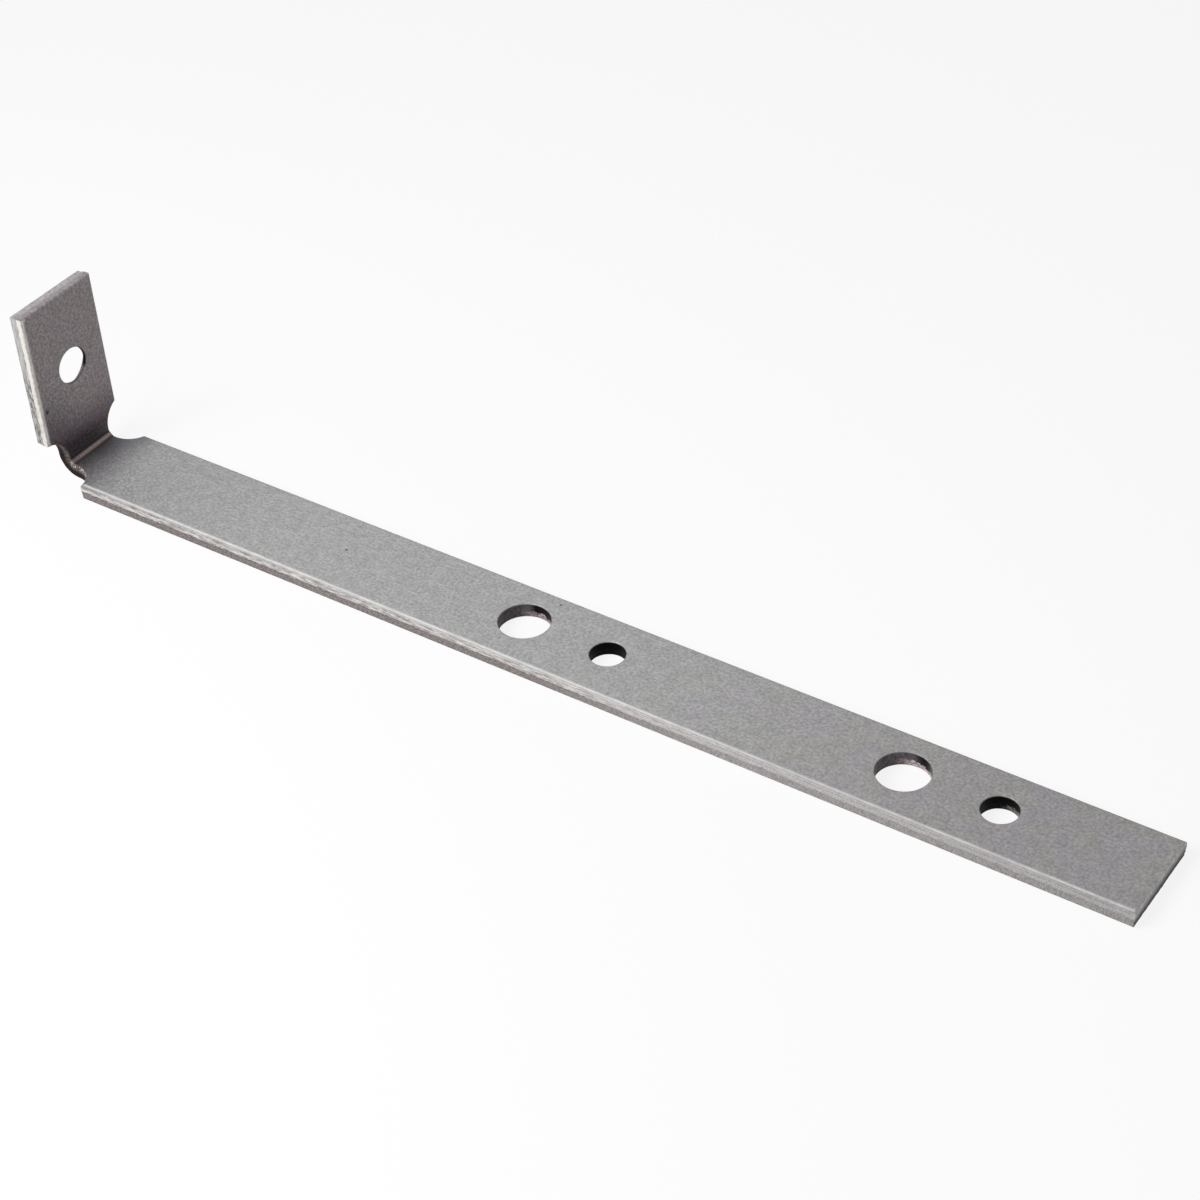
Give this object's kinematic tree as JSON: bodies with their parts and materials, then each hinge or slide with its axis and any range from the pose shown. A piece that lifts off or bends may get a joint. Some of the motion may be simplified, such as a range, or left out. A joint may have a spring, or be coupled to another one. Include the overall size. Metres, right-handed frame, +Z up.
{
  "type": "window board tie",
  "caption": "Flat steel strap folded up at one end into a short tab, with round punched holes and a notched neck at the bend, for tying a window board to a wall.",
  "frame": {"origin": "on the strap's centre line, where the plane of the leg's underside meets the plane of the tab's outer face", "axes": "+X along the leg to its free end, +Y across the strap, +Z up, the way the tab rises"},
  "size_m": [0.2414, 0.02, 0.0401],
  "materials": {
    "strip_steel": "dull zinc-grey mill finish, bright and rough bands on the sheared edges"
  },
  "bodies": {
    "root": {"folded_strap": "strip_steel"}
  },
  "joints": []
}
